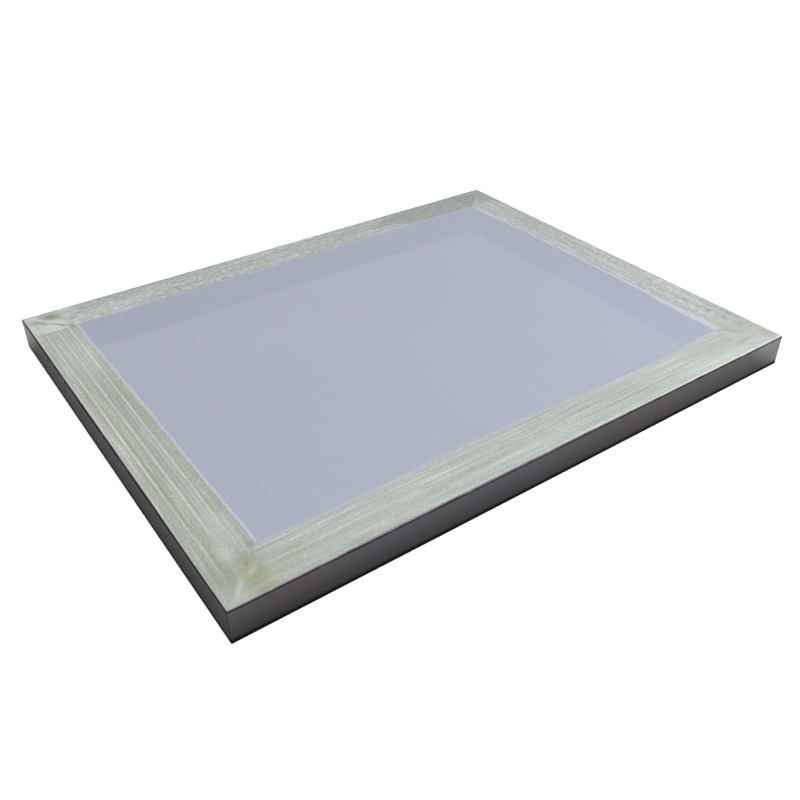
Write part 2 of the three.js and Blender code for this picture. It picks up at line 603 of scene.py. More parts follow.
@dataclass(frozen=True)
class BrushedAdhesive(Finish):
    """Screen adhesive, brushed through the mesh and dried to a satin, grey-green lacquer.

    The abraded aluminium under it shows through as fine lines along the rail. Where the adhesive
    is thick it turns olive, and where it has pulled away from the metal it turns pale. The pale tone
    also carries the painted highlight of the ridges and part of the outer edge's pale rim, and the
    dark shade tone carries the painted shade beside the ridges.
    """

    title = "dried screen adhesive"
    body: str = "99A19A"
    light: str = "A7AFA9"
    rosy: str = "A5A29F"
    olive: str = "8D916C"
    # fabric is the mesh's lavender grey where the adhesive thins, so it carries the same painted shade.
    fabric: str = "A2A6B2"
    pale: str = "C8CEC8"
    warm: str = "B6AEA0"
    shade: str = "676F68"
    olive_everywhere: float = 0.06
    rosy_strength: float = 0.35
    streak_strength: float = 0.5
    grain_strength: float = 0.5
    grain_size: tuple[float, float] = (5.5 * MM, 1.5 * MM)
    roughness: float = 0.46
    # The fabric's threads are 0.15 mm apart, too fine to show, so its print in the adhesive is
    # drawn about ten times as coarse.
    print_pitch: float = 1.6 * MM

    def dress(self, tree: bpy.types.NodeTree, shader: bpy.types.Node) -> None:
        """See Finish.dress."""
        tones = {t: add_node(tree, "Attribute", attribute_name=t.value).outputs["Fac"] for t in Tone}
        mottle = streaked(tree, 2.4 * MM, 2.0 * MM, 3.0, shift=0.6)
        grain = streaked(tree, *self.grain_size, 2.0, shift=4.4)
        broad = streaked(tree, 110 * MM, 6 * MM, 3.0)
        medium = streaked(tree, 60 * MM, 1.9 * MM, 2.0, shift=2.1)
        fine = streaked(tree, 30 * MM, 1.1 * MM, 2.0, shift=5.3)
        patchy = streaked(tree, 26 * MM, 9 * MM, 4.0, shift=8.2)
        flush = streaked(tree, 17 * MM, 7 * MM, 3.0, shift=6.9)

        colour = mixed(tree, ramped(tree, broad, 0.35, 0.7), linear(self.body), linear(self.light))
        colour = mixed(tree, ramped(tree, flush, 0.48, 0.7, self.rosy_strength), colour, linear(self.rosy))
        olive_mask = computed(
            tree,
            "ADD",
            computed(tree, "MULTIPLY", ramped(tree, patchy, 0.42, 0.72), self.olive_everywhere),
            computed(tree, "MULTIPLY", tones[Tone.OLIVE], ramped(tree, mottle, 0.15, 0.5)),
            clamp=True,
        )
        colour = mixed(tree, olive_mask, colour, linear(self.olive))
        warm_mask = computed(tree, "MULTIPLY", tones[Tone.WARM], ramped(tree, mottle, 0.2, 0.6))
        colour = mixed(tree, warm_mask, colour, linear(self.warm))
        light_lines = computed(
            tree,
            "ADD",
            ramped(tree, medium, 0.51, 0.7, self.streak_strength),
            ramped(tree, grain, 0.5, 0.7, self.grain_strength),
            clamp=True,
        )
        calm = computed(tree, "SUBTRACT", 1.0, tones[Tone.SMOOTH], clamp=True)
        colour = mixed(tree, computed(tree, "MULTIPLY", light_lines, calm), colour, linear(self.pale))
        dark_lines = computed(
            tree,
            "ADD",
            ramped(tree, medium, 0.48, 0.3, 0.5 * self.streak_strength),
            computed(
                tree,
                "ADD",
                ramped(tree, fine, 0.46, 0.26, 0.6 * self.streak_strength),
                ramped(tree, grain, 0.49, 0.3, 0.5 * self.grain_strength),
            ),
            clamp=True,
        )
        colour = mixed(tree, computed(tree, "MULTIPLY", dark_lines, calm), colour, linear(self.shade))
        pale_mask = computed(tree, "MULTIPLY", tones[Tone.PALE], ramped(tree, grain, 0.1, 0.55), clamp=True)
        colour = mixed(tree, pale_mask, colour, linear(self.pale))
        shade_mask = computed(tree, "MULTIPLY", tones[Tone.SHADE], ramped(tree, mottle, 0.15, 0.55))
        colour = mixed(tree, shade_mask, colour, linear(self.shade))
        ragged = computed(tree, "MULTIPLY_ADD", computed(tree, "SUBTRACT", grain, 0.5), 1.6, tones[Tone.THIN])
        thinned = ramped(tree, tones[Tone.THIN], 0, 0.2)
        thin_mask = computed(tree, "MULTIPLY", ramped(tree, ragged, 0.25, 0.85), thinned)
        colour = mixed(tree, thin_mask, colour, linear(self.fabric))

        print_relief = woven(tree, self.print_pitch)
        speckle = computed(tree, "MULTIPLY", computed(tree, "SUBTRACT", mottle, 0.5), 0.34)
        value = computed(tree, "ADD", speckle, computed(tree, "MULTIPLY_ADD", print_relief, 0.04, 0.98))
        graded = add_node(tree, "HueSaturation", {"Value": value, "Color": colour}).outputs[0]

        rough = computed(tree, "MULTIPLY_ADD", medium, 0.16, self.roughness - 0.08)
        relief = computed(
            tree,
            "ADD",
            computed(tree, "MULTIPLY", print_relief, 0.35),
            computed(tree, "ADD", medium, computed(tree, "MULTIPLY", mottle, 0.5)),
        )
        bump = add_node(tree, "Bump", {"Height": relief, "Strength": 0.5, "Distance": 0.12 * MM})
        feed(tree, shader, {"Base Color": graded, "Roughness": rough, "Normal": bump.outputs[0]})
        shader.inputs["IOR"].default_value = 1.48


def woven(tree: bpy.types.NodeTree, pitch: float) -> object:
    """The relief of a plain weave.

    Threads along either direction are rounded ridges, sin^2 of the distance across them. Where
    sin x sin y is positive the warp lies on top, and elsewhere the weft does.

    Args:
        tree: the material's node tree.
        pitch: the distance from thread to thread, in metres.

    Returns:
        The socket of a height from 0 in the holes to 1 on the threads.
    """
    place = add_node(tree, "UVMap", uv_map=UV_NAME).outputs[0]
    parts = add_node(tree, "SeparateXYZ", {0: place})
    waves = []
    for axis in (0, 1):
        angle = computed(tree, "MULTIPLY", parts.outputs[axis], math.pi / pitch)
        waves.append(computed(tree, "SINE", angle))
    ridges = [computed(tree, "MULTIPLY", wave, wave) for wave in waves]
    over = computed(tree, "MULTIPLY_ADD", computed(tree, "MULTIPLY", *waves), 0.5, 0.5)
    warp = computed(tree, "MULTIPLY", ridges[0], computed(tree, "MULTIPLY_ADD", over, 0.6, 0.4))
    weft = computed(tree, "MULTIPLY", ridges[1], computed(tree, "MULTIPLY_ADD", over, -0.6, 1.0))
    return computed(tree, "MAXIMUM", warp, weft)


@dataclass(frozen=True)
class WovenPolyester(Finish):
    """White monofilament polyester mesh, which lets a little of what is behind it through.

    The thread and hollow colours are a cool, lavender grey in place of the threads' white: painted shade for
    the shaded table seen behind them.
    """

    title = "woven monofilament polyester"
    # Painted shade: thread and hollow are lavender grey, standing in for white threads over a shaded table.
    thread: str = "999EB0"
    hollow: str = "9398AB"
    roughness: float = 0.55
    # The real threads are 0.15 mm apart. They are drawn ten times as coarse, so that the weave
    # just shows, and the holes are only a little clearer than the threads, because each drawn
    # thread stands for many real ones with their own holes.
    thread_pitch: float = 1.5 * MM
    least_cover: float = 0.92
    most_cover: float = 0.96

    def dress(self, tree: bpy.types.NodeTree, shader: bpy.types.Node) -> None:
        """See Finish.dress."""
        relief = woven(tree, self.thread_pitch)
        place = add_node(tree, "UVMap", uv_map=UV_NAME).outputs[0]
        clouds = clouded(tree, place, 9.0, 3.0, 0.5)
        slubs = []
        for scale in ((5.0, 700.0, 1.0), (700.0, 5.0, 1.0)):
            drawn_out = add_node(tree, "Mapping", {"Vector": place, "Scale": scale}).outputs[0]
            slubs.append(clouded(tree, drawn_out, 1.0, 2.0, 0.5))
        base = mixed(tree, relief, linear(self.hollow), linear(self.thread))
        lines = computed(tree, "ADD", *slubs)
        value = computed(
            tree,
            "ADD",
            computed(tree, "MULTIPLY_ADD", lines, 0.05, 0.95),
            computed(tree, "MULTIPLY_ADD", clouds, 0.06, -0.03),
        )
        graded = add_node(tree, "HueSaturation", {"Value": value, "Color": base}).outputs[0]
        cover = computed(tree, "MULTIPLY_ADD", relief, self.most_cover - self.least_cover, self.least_cover)
        bump = add_node(tree, "Bump", {"Height": relief, "Strength": 0.3, "Distance": 0.08 * MM})
        feed(tree, shader, {"Base Color": graded, "Alpha": cover, "Normal": bump.outputs[0]})
        shader.inputs["Roughness"].default_value = self.roughness
        shader.inputs["IOR"].default_value = 1.57


@dataclass(frozen=True)
class StudioPaper(Finish):
    """Matt white backdrop paper, exposed until its own shadows burn out.

    Only the view of the paper is lifted. The light that it throws back on the frame is its own.
    """

    title = "white backdrop paper"
    colour: str = "F9F9F8"
    lift: float = 0.52

    def dress(self, tree: bpy.types.NodeTree, shader: bpy.types.Node) -> None:
        """See Finish.dress."""
        shader.inputs["Base Color"].default_value = linear(self.colour)
        shader.inputs["Emission Color"].default_value = linear(self.colour)
        seen = add_node(tree, "LightPath").outputs["Is Camera Ray"]
        tree.links.new(computed(tree, "MULTIPLY", seen, self.lift), shader.inputs["Emission Strength"])
        shader.inputs["Roughness"].default_value = 0.9
        shader.inputs["Specular IOR Level"].default_value = 0.1


# ---------------------------------------------------------------- pieces


@dataclass
class BoxRails:
    """The four mitred rails of hollow extruded section."""

    layout: Layout
    finishes: dict[Side, bpy.types.Material]
    wall: float = 1.6 * MM
    edge_radius: float = 0.8 * MM
    bore_radius: float = 0.5 * MM
    support: float = 0.12 * MM
    arc_steps: int = 6
    flat_steps: int = 12
    stations: int = 60
    seam_gap: float = 0.14 * MM
    weld_gap: float = 1.25 * MM
    glint_slant: float = 1.3
    glint_fade: tuple[float, float] = (22 * MM, 48 * MM)
    # How strongly each corner gets the painted reflection that brightens the sides.
    glint_corners: dict[Corner, float] = field(
        default_factory=lambda: {
            Corner.FRONT_LEFT: 0.0,
            Corner.FRONT_RIGHT: 0.34,
            Corner.BACK_RIGHT: 0.5,
            Corner.BACK_LEFT: 0.95,
        }
    )

    def section(self, inset: float, radius: float) -> np.ndarray:
        """A rounded rectangle, starting halfway along the top.

        Each corner is a quarter circle. A point just past each end of it keeps the flats flat when
        they are shaded smooth, and the flats are divided evenly.

        Args:
            inset: how far inside the outer faces the rectangle lies.
            radius: of its corners.

        Returns:
            Points with the distance inwards and the height, one loop.
        """
        low, right = inset + radius, self.layout.rail_width - inset - radius
        top = self.layout.rail_height - inset - radius
        centres = [(right, top), (right, low), (low, low), (low, top)]
        starts = [90.0, 0.0, -90.0, -180.0]
        loop = []
        for turn, ((x, y), start) in enumerate(zip(centres, starts, strict=True)):
            angle = np.radians(start - np.linspace(0.0, 90.0, self.arc_steps + 1))
            arc = np.stack([x + radius * np.cos(angle), y + radius * np.sin(angle)], -1)
            following = np.array(centres[(turn + 1) % 4])
            end_angle = math.radians(start - 90.0)
            offset = radius * np.array([math.cos(end_angle), math.sin(end_angle)])
            first, last = arc[-1], following + offset
            span = np.linalg.norm(last - first)
            inner = np.linspace(self.support / span, 1.0 - self.support / span, self.flat_steps)
            loop += [arc, first + inner[:, None] * (last - first)]
        points = np.concatenate(loop)
        return np.roll(points, self.flat_steps // 2, axis=0)

    def end_gap(self, section: np.ndarray) -> np.ndarray:
        """How far each point of the section stops from the mitre.

        The outer face runs almost to the corner and leaves a thin seam. Elsewhere the rail makes
        room for the weld metal.
        """
        blend = smoothstep(0.8 * MM, 2.0 * MM, section[:, 0])
        return self.seam_gap + (self.weld_gap - self.seam_gap) * blend

    def painted_glint(self, points: np.ndarray) -> np.ndarray:
        """How much painted reflection each point shows, brightening the sides round the corners.

        It fades out over the fade distances, along a slant that reaches further at the top:
        1 - smoothstep(distance from the corner + slant * depth below the top).

        Args:
            points: the rail's points.

        Returns:
            One value for each point, 0 far from the corners.
        """
        most = np.zeros(len(points))
        for corner, strength in self.glint_corners.items():
            sign_x, sign_y = corner.value
            away_x = self.layout.half_length - sign_x * points[:, 0]
            away_y = self.layout.half_width - sign_y * points[:, 1]
            depth = self.layout.rail_height - points[:, 2]
            reach = np.maximum(away_x, away_y) + self.glint_slant * depth
            most = np.maximum(most, strength * (1.0 - smoothstep(*self.glint_fade, reach)))
        return most

    def build_one(self, side: Side) -> bpy.types.Object:
        """Carries the section along one side and mitres its ends.

        A point's reach is half the side's length, less its distance inwards, less its gap.

        Args:
            side: which rail.

        Returns:
            The rail.
        """
        outer = self.section(0.0, self.edge_radius)
        bore = self.section(self.wall, self.bore_radius)
        share = np.linspace(-1.0, 1.0, self.stations)[:, None]
        walls = []
        for loop in (outer, bore):
            reach = self.layout.half_run(side) - loop[:, 0] - self.end_gap(loop) * math.sqrt(2)
            walls.append((share * reach, loop))
        points, faces = tube(*[self.layout.place(side, a, s[:, 0], s[:, 1]) for a, s in walls])
        steps = np.linalg.norm(np.diff(outer, axis=0, prepend=outer[:1]), axis=1)
        around = np.cumsum(steps)
        uv = np.concatenate([np.stack(np.broadcast_arrays(a, around), -1).reshape(-1, 2) for a, _ in walls])
        uv[:, 0] += 0.7 * list(Side).index(side)
        fields = {CORNER_GLINT: self.painted_glint(points)}
        name = f"{side.word}_rail_extrusion"
        piece = make_piece(name, points, facing_out(points, faces), uv, self.finishes[side], fields, 50.0)
        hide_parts(f"{side.word}_rail")
        return piece

    def build(self) -> list[bpy.types.Object]:
        """Builds all four rails."""
        return [self.build_one(side) for side in Side]


@dataclass
class CornerWelds:
    """The weld metal at the four corners."""

    layout: Layout
    ground: bpy.types.Material
    raw: bpy.types.Material
    half_width: float = 1.4 * MM
    depth: float = 1.3 * MM
    seam_start: float = 2.3 * MM
    ripple_pitch: float = 1.5 * MM
    fillet_leg: float = 3.4 * MM
    fillet_crown: float = 0.5 * MM

    def bead(
        self,
        corner: Corner,
        names: tuple[str, str],
        surfaces: tuple[np.ndarray, np.ndarray],
        aside_along: tuple[np.ndarray, np.ndarray],
        slot: str,
    ) -> bpy.types.Object:
        """Closes a weld's face and root into one body and dresses it.

        Args:
            corner: which corner.
            names: what the weld is called here and in the CAD node.
            surfaces: the points of its face and of its root.
            aside_along: distances to one side of the mitre and along the weld, on the same grid.
            slot: picks ground or raw metal.

        Returns:
            The weld.
        """
        points, faces = slab(*surfaces)
        flat = np.stack(np.broadcast_arrays(*aside_along), -1).reshape(-1, 2)
        own_name, node = names
        metal = self.raw if slot == "raw_weld" else self.ground
        name = f"{corner.word}_{own_name}_weld"
        piece = make_piece(name, points, facing_out(points, faces), np.tile(flat, (2, 1)), metal)
        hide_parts(f"{corner.word}_{node}_weld")
        return piece

    def seam(self, corner: Corner, upper: bool) -> bpy.types.Object:
        """The flush weld across a mitre, on the top or the underside.

        Its face dips by up to 0.05 mm towards its edges and carries faint crescents where the ripples were
        ground away. Its edges wander a little.

        Args:
            corner: which corner.
            upper: the top weld, or else the underside one.

        Returns:
            The weld.
        """
        end = (self.layout.rail_width - 0.8 * MM) * math.sqrt(2)
        run = np.linspace(self.seam_start, end, 90)[:, None]
        share = np.linspace(-1.0, 1.0, 11)[None, :]
        seed = 20 + list(Corner).index(corner)
        edge = self.half_width * (1.0 + 0.12 * wander(run, 9 * MM, seed))
        aside = share * edge
        crescents = np.sin((run + 0.6 * aside**2 / self.half_width) * 2 * math.pi / self.ripple_pitch)
        sink = 0.03 * MM + 0.03 * MM * share**2 + 0.012 * MM * crescents * (1 - share**2)
        face_up = self.layout.rail_height - sink if upper else sink
        root_up = self.layout.rail_height - self.depth if upper else self.depth
        face = self.layout.place_corner(corner, run, aside, face_up)
        root = self.layout.place_corner(corner, run, aside, np.full_like(aside, root_up))
        names = ("top_seam", "top") if upper else ("under_seam", "under")
        return self.bead(corner, names, (face, root), (aside, run), "ground_weld")

    def outer(self, corner: Corner) -> bpy.types.Object:
        """The thin weld at the root of the seam on the outer corner edge.

        A narrow bead, sunk behind the corner, whose face swells and shrinks slightly with its
        ripples.

        Args:
            corner: which corner.

        Returns:
            The weld.
        """
        up = np.linspace(0.4 * MM, self.layout.rail_height - 0.4 * MM, 60)[:, None]
        share = np.linspace(-1.0, 1.0, 7)[None, :]
        ripple = 0.05 * MM * np.sin(up * 2 * math.pi / self.ripple_pitch + 2.0 * share**2)
        face_at = 0.62 * MM + ripple * (1 - share**2) + 0.25 * MM * share**2
        aside = share * 0.75 * MM
        face = self.layout.place_corner(corner, face_at, aside, up)
        root = self.layout.place_corner(corner, np.full_like(face_at, 2.2 * MM), aside, up)
        return self.bead(corner, ("outer_seam", "outer"), (face, root), (aside, up), "ground_weld")

    def inner(self, corner: Corner) -> bpy.types.Object:
        """The fillet bead in the well, with its ripples left on.

        The face is a shallow arc from one inner face to the other. Overlapping crescents stand out
        of it as a saw-tooth wave that lags towards the edges, as a bead laid upwards leaves them.

        Args:
            corner: which corner.

        Returns:
            The weld.
        """
        well = self.layout.rail_width * math.sqrt(2)
        up = np.linspace(0.5 * MM, self.layout.rail_height - 0.5 * MM, 180)[:, None]
        share = np.linspace(-1.0, 1.0, 21)[None, :]
        seed = 40 + list(Corner).index(corner)
        leg = self.fillet_leg * (1.0 + 0.1 * wander(up, 12 * MM, seed))
        phase = up / self.ripple_pitch + 0.55 * share**2
        tooth = phase - np.floor(phase)
        ripple = 0.22 * MM * tooth * (1.0 - tooth**6) * (1.0 - 0.6 * share**2)
        ends = smoothstep(0.0, 2.0 * MM, up) * smoothstep(self.layout.rail_height, 23 * MM, up)
        aside = share * leg / math.sqrt(2)
        crown = (self.fillet_crown * (1.0 - share**2) + ripple * ends) * (0.5 + 0.5 * ends)
        face = self.layout.place_corner(corner, well + leg / math.sqrt(2) + crown, aside, up)
        root = self.layout.place_corner(corner, well - 1.0 * MM + np.abs(aside), aside, up)
        return self.bead(corner, ("inner_fillet", "inner"), (face, root), (aside, up), "raw_weld")

    def build(self) -> list[bpy.types.Object]:
        """Builds the four welds of each corner."""
        made = []
        for corner in Corner:
            made += [self.seam(corner, True), self.seam(corner, False)]
            made += [self.outer(corner), self.inner(corner)]
        return made


@dataclass(frozen=True)
class Stain:
    """A soft patch of one tone in the adhesive, placed from an outer corner of the frame.

    x and y are distances in millimetres from the corner along the long and the short rail. The
    patch is an ellipse with the given radii, turned from the long rail towards the short one.
    """

    x: float
    y: float
    long: float
    wide: float
    turn: float = 0.0
    strength: float = 0.7
    hardness: float = 1.0

    def field(self, layout: Layout, corner: Corner, points: np.ndarray) -> np.ndarray:
        """The patch's strength at each point: strength * exp(-(distance / radius)^(2 hardness)).

        Args:
            layout: the frame's sizes.
            corner: the corner that the patch is placed from.
            points: the adhesive's points.

        Returns:
            One value for each point.
        """
        sign_x, sign_y = corner.value
        dx = (layout.half_length - sign_x * points[..., 0]) / MM - self.x
        dy = (layout.half_width - sign_y * points[..., 1]) / MM - self.y
        angle = math.radians(self.turn)
        u = (dx * math.cos(angle) + dy * math.sin(angle)) / self.long
        v = (dy * math.cos(angle) - dx * math.sin(angle)) / self.wide
        return self.strength * np.exp(-((u * u + v * v) ** self.hardness))


# How the brush and the glue pot left the adhesive round each corner. A row is a Stain: x, y, long,
# wide, turn, strength and hardness, in millimetres and degrees.
STAINS: dict[Corner, dict[Tone, tuple[tuple[float, ...], ...]]] = {
    Corner.FRONT_LEFT: {
        Tone.SMOOTH: (
            (18, 14, 17, 17, 0, 0.7, 2.0),
        ),
        Tone.SHADE: (
            (20, 40, 24, 60, 0, 0.1, 1.5), (9, 25, 9, 13, 0, 0.22, 2.0), (24, 2.0, 6, 2.5, 0, 0.25),
            (70, 1.0, 50, 3.0, 0, 0.3, 2.0), (31.5, 35.5, 3.2, 2.4, 30, 0.5),
            (23.5, 23.5, 2.4, 1.2, 45, 0.7), (10.5, 39, 2.2, 3.4, 0, 0.4),
            (21, 170, 4.2, 100, 0, 0.22, 2.0),
        ),
        Tone.OLIVE: (
            (23, 14, 9, 9, 20, 0.9, 2.0), (26, 26, 7, 6, 0, 0.8), (24, 3.0, 9, 3.5, 0, 0.8, 2.0),
            (38, 10, 12, 5, 0, 0.45), (50, 18, 8, 5, 0, 0.35), (9, 24, 9, 12, 0, 0.4, 2.0),
            (12, 112, 3.8, 70, 0, 0.4, 2.0), (30, 200, 3.4, 90, 0, 0.3, 2.0),
            (12, 230, 4.0, 50, 0, 0.2, 2.0),
        ),
        Tone.WARM: (
            (36, 15, 4, 2.4, 0, 0.4), (4, 180, 3.5, 120, 0, 0.3, 2.0), (100, 5, 14, 5, 0, 0.25),
        ),
        Tone.PALE: (
            (13, 11, 8, 1.4, 52, 0.5), (23, 17, 4, 2.0, 30, 0.45), (18, 37, 5, 7, 0, 0.5),
            (24, 55, 7, 22, 0, 0.35, 2.0),
        ),
    },
    Corner.BACK_LEFT: {
        Tone.SMOOTH: (
            (16, 16, 18, 16, 0, 0.6, 3.0),
        ),
        Tone.THIN: (
            (32.5, 70, 2.0, 42, 0, 0.6, 2.0),
        ),
        Tone.PALE: (
            (14, 24, 15, 10.5, 0, 0.62, 4.0), (7, 5, 4.5, 5, 0, 0.6), (31, 4, 7, 4, 0, 0.55),
            (31, 16, 4, 4, 0, 0.5), (60, 24, 40, 9, 0, 0.25, 2.0), (20, 80, 13, 48, 0, 0.14, 2.0),
            (17, 32.4, 15, 1.6, 0, 0.9, 2.0), (11, 11.0, 8.5, 1.1, 45, 0.95),
            (24, 24.0, 9.0, 1.2, 43, 1.0),
        ),
        Tone.SHADE: (
            (16, 35.2, 14, 0.9, 0, 0.5, 2.0), (11, 16.5, 7, 2.2, 45, 0.7),
            (22, 25.8, 9.0, 1.4, 45, 0.85), (29.0, 32.5, 4.0, 1.8, 45, 0.7), (6, 22, 1.2, 6, 0, 0.3),
            (21, 10.5, 5.5, 4.5, 20, 0.62, 1.5),
        ),
        Tone.OLIVE: (
            (20, 10, 6.5, 6.5, 20, 0.9, 2.0), (13, 17, 5, 4, 45, 0.5), (52, 29, 6, 3, 0, 0.4),
            (30, 34, 3, 3, 0, 0.7),
        ),
        Tone.WARM: (
            (16.5, 26, 4.5, 8, -12, 0.75, 2.0),
        ),
    },
    Corner.BACK_RIGHT: {
        Tone.SMOOTH: (
            (14, 14, 20, 22, 0, 0.6, 2.0),
        ),
        Tone.SHADE: (
            (52, 15, 95, 19, 0, 0.58, 3.0), (34, 14, 6, 18, 0, 0.75, 2.0), (15, 15, 8, 8, 0, 0.5),
            (23.0, 20.8, 18, 1.0, 45, 1.0, 2.0), (34.0, 31.0, 3.0, 2.6, 44, 1.0),
            (3, 20, 3.5, 28, 0, 0.55, 2.0), (120, 20, 60, 1.8, 0, 0.4), (130, 27, 50, 1.4, 0, 0.4),
            (12, 90, 12, 60, 0, 0.2, 1.5), (160, 17, 32, 15, 0, 0.2),
        ),
        Tone.OLIVE: (
            (33, 16, 6, 12, 0, 0.3), (17, 33, 5, 6, 0, 0.2),
        ),
        Tone.PALE: (
            (23, 27, 8, 3.0, 48, 0.55), (150, 23, 60, 1.2, 0, 0.4),
        ),
        Tone.WARM: (
            (5, 16, 4, 14, 0, 0.5),
        ),
    },
    Corner.FRONT_RIGHT: {
        Tone.SMOOTH: (
            (20, 16, 34, 24, 0, 0.8, 2.0),
        ),
        Tone.SHADE: (
            (160, 17, 34, 15, 0, 0.16), (8, 8, 5, 9, 0, 0.25, 2.0), (2.5, 45, 3.5, 12, 0, 0.4, 2.0),
            (30, 12, 9, 2.0, -8, 0.4), (30, 31, 6, 1.1, 35, 0.55), (10, 30, 2.0, 2.4, 0, 0.45),
            (12, 43, 1.9, 2.3, 0, 0.6), (14, 56.5, 2.2, 1.4, 0, 0.65), (24, 24, 3.4, 1.0, 40, 0.5),
            (28, 6, 2.0, 1.0, 20, 0.5), (40, 20, 3.0, 0.9, 20, 0.35),
        ),
        Tone.PALE: (
            (62, 6, 48, 6, 0, 0.35), (40, 31.5, 2.6, 1.0, 35, 0.8), (30.5, 60, 2.0, 32, 0, 0.5),
        ),
        Tone.THIN: (
            (58, 33.5, 30, 3.5, 0, 0.6, 2.0), (33.0, 60, 2.4, 30, 0, 0.6),
        ),
        Tone.WARM: (
            (9, 14, 5, 9, 0, 0.5),
        ),
    },
}


@dataclass(frozen=True)
class BrushMarks:
    """How one band of adhesive was laid: its pale ridge lines, which are painted highlight, and its wandering
    inner edge.

    inner_edge and outer_edge hold the edges' distances from the rail's outer face in millimetres,
    at even steps along the rail.
    """

    side: Side
    ridge_highlight_strength: tuple[float, float]
    seed: int
    inner_edge: tuple[float, ...]
    outer_edge: tuple[float, ...] = (0.3,)
    bleed_strength: float = 0.7
    bleed_width: float = 0.75 * MM
    rim_strength: tuple[float, float] = (0.3, 0.3)


@dataclass
class AdhesiveBands:
    """The four bands of adhesive that hold the mesh on the rails."""

    layout: Layout
    finishes: dict[Side, bpy.types.Material]
    rail_radius: float = 0.8 * MM
    film: float = 0.2 * MM
    lip: float = 0.5 * MM
    feather: float = 1.8 * MM
    thin_edge: float = 3.6 * MM
    ridges: tuple[tuple[float, float], ...] = (
        (8.5 * MM, 1.0),
        (17.2 * MM, 1.0),
        (26.0 * MM, 1.0),
        (13.8 * MM, 0.25),
        (20.7 * MM, 0.35),
        (23.1 * MM, 0.45),
    )
    ridge_drift: float = 1.8 * MM
    ridge_half_width: float = 0.6 * MM
    flank_away: float = 1.65 * MM
    flank_half_width: float = 0.7 * MM
    flank_shade_strength: float = 0.35
    along_step: float = 1.25 * MM
    across_points: int = 92
    ridge_start: float = 34 * MM
    ridge_ends: tuple[float, ...] = (12 * MM, 44 * MM, 50 * MM, 60 * MM, 60 * MM, 60 * MM)
    # The ridge strengths set how much painted highlight each rail's ridges get, most on the left rail.
    marks: tuple[BrushMarks, ...] = (
        BrushMarks(
            Side.FRONT,
            ridge_highlight_strength=(0.12, 0.12),
            seed=3,
            inner_edge=(34.2, 34.0, 35.0, 35.6, 34.4, 32.4, 32.8, 34.8),
            outer_edge=(0.5, 0.6, 1.1, 1.0, 0.7, 0.4, 0.4, 0.4),
            bleed_strength=0.5,
            rim_strength=(0.05, 0.9),
        ),
        BrushMarks(
            Side.RIGHT,
            ridge_highlight_strength=(0.3, 0.2),
            seed=5,
            inner_edge=(35.2, 34.8, 32.0, 32.0, 31.8, 31.8, 33.0, 34.2),
            outer_edge=(0.4,),
            bleed_strength=0.85,
            bleed_width=1.3 * MM,
            rim_strength=(0.2, 0.0),
        ),
        BrushMarks(
            Side.BACK,
            ridge_highlight_strength=(0.5, 0.15),
            seed=7,
            inner_edge=(34.4, 33.2, 33.8, 34.2, 34.8, 33.2, 35.0, 34.6),
            outer_edge=(0.4,),
            bleed_strength=0.55,
            bleed_width=0.9 * MM,
        ),
        BrushMarks(
            Side.LEFT,
            ridge_highlight_strength=(0.9, 0.6),
            seed=9,
            inner_edge=(34.0, 34.0, 34.8, 35.1, 35.5, 35.4, 36.0, 36.4),
            outer_edge=(0.9, 0.9, 0.9, 0.9, 0.9, 0.8, 0.5, 0.4),
            bleed_strength=0.8,
            rim_strength=(0.45, 0.15),
        ),
    )

    def ridge_fade(self, mark: BrushMarks, along: np.ndarray, number: int) -> np.ndarray:
        """How clearly a ridge shows along its rail: less at the corners, and unevenly between."""
        half = self.layout.half_run(mark.side)
        from_start, from_end = half + along, half - along
        end_limit = self.ridge_ends[number]
        fade = 0.3 + 0.7 * smoothstep(self.ridge_start - 3 * MM, self.ridge_start + 3 * MM, from_start)
        fade = fade * (0.25 + 0.75 * smoothstep(end_limit - 5 * MM, end_limit + 9 * MM, from_end))
        return fade * (0.82 + 0.18 * wander(along, 60 * MM, mark.seed + number))

    def surface(self, mark: BrushMarks) -> tuple[np.ndarray, np.ndarray, dict[str, np.ndarray], np.ndarray]:
        """Works out one band on a grid of stations along the rail by points across it.

        The outer edge and the inner edge wander. The film's thickness rises over a rounded lip at
        the outer edge, carries three low ridges and brush waves, and feathers out to nothing past
        the rail's inner face. The mitres follow from each point's distance inwards.

        Args:
            mark: how this band was laid.

        Returns:
            The upper points, the lower points, the tone fields and the distances along and across.
        """
        half = self.layout.half_run(mark.side)
        stations = int(2 * half / self.along_step)
        share = np.linspace(-1.0, 1.0, stations)[:, None]
        row = np.linspace(0.0, 1.0, self.across_points)[None, :]
        guide = share * half
        knots = np.linspace(-1.0, 1.0, len(mark.inner_edge))
        inner = np.interp(share, knots, np.array(mark.inner_edge) * MM)
        inner = inner + 0.25 * MM * wander(guide, 45 * MM, mark.seed, 4)
        inner = inner + 0.18 * MM * wander(guide, 7 * MM, mark.seed + 11, 3)
        knots = np.linspace(-1.0, 1.0, len(mark.outer_edge))
        outer = np.interp(share, knots, np.array(mark.outer_edge) * MM)
        outer = outer + 0.04 * MM * wander(guide, 30 * MM, mark.seed + 30, 5)
        across = outer + row * (inner - outer)
        along = share * (half - across)

        # Painted highlight and painted shade: each ridge is a pale line with dark lines beside it, as light
        # and shade fall on a low ridge; the ridge also raises the film a little.
        ridge, flank_shade = np.zeros_like(along), np.zeros_like(along)
        for number, (at, share_of_full) in enumerate(self.ridges):
            path = at + 0.12 * MM * wander(guide, 220 * MM, mark.seed + 60 + number, 2)
            if number:
                path = path - self.ridge_drift * smoothstep(0.55, 1.0, share)
            fade = share_of_full * self.ridge_fade(mark, along, number)
            away = np.abs(across - path)
            ridge = np.maximum(ridge, fade * np.exp(-((away / self.ridge_half_width) ** 2)))
            beside = (away - self.flank_away) / self.flank_half_width
            flank_shade = np.maximum(flank_shade, fade * np.exp(-(beside**2)))
        waves = wander(across + 0.4 * MM * wander(along, 90 * MM, mark.seed), 5.2 * MM, mark.seed + 90, 4)

